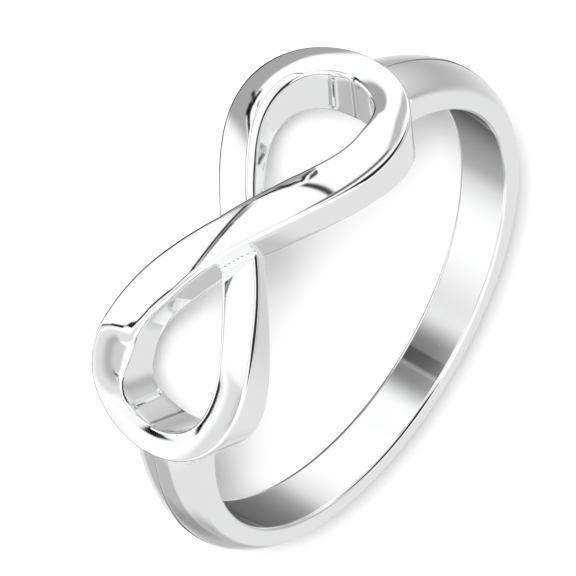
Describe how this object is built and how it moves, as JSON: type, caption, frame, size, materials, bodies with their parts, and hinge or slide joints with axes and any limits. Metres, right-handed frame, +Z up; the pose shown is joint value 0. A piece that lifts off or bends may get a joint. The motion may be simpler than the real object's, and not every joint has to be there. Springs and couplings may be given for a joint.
{
  "type": "finger ring",
  "caption": "Polished finger ring whose front is an infinity sign: a strand that crosses over itself, cast in one piece with a plain domed band that narrows to the back.",
  "frame": {"origin": "middle of the bounding box at the surface that the ring lies on", "axes": "+Z up as the ring lies on its side; the infinity sign faces -Y and slightly up, and the loops lie along X"},
  "size_m": [0.02, 0.0202, 0.0067],
  "materials": {
    "polished_silver": "mirror polished silver"
  },
  "bodies": {
    "root": {"infinity_ring": "polished_silver"}
  },
  "joints": []
}
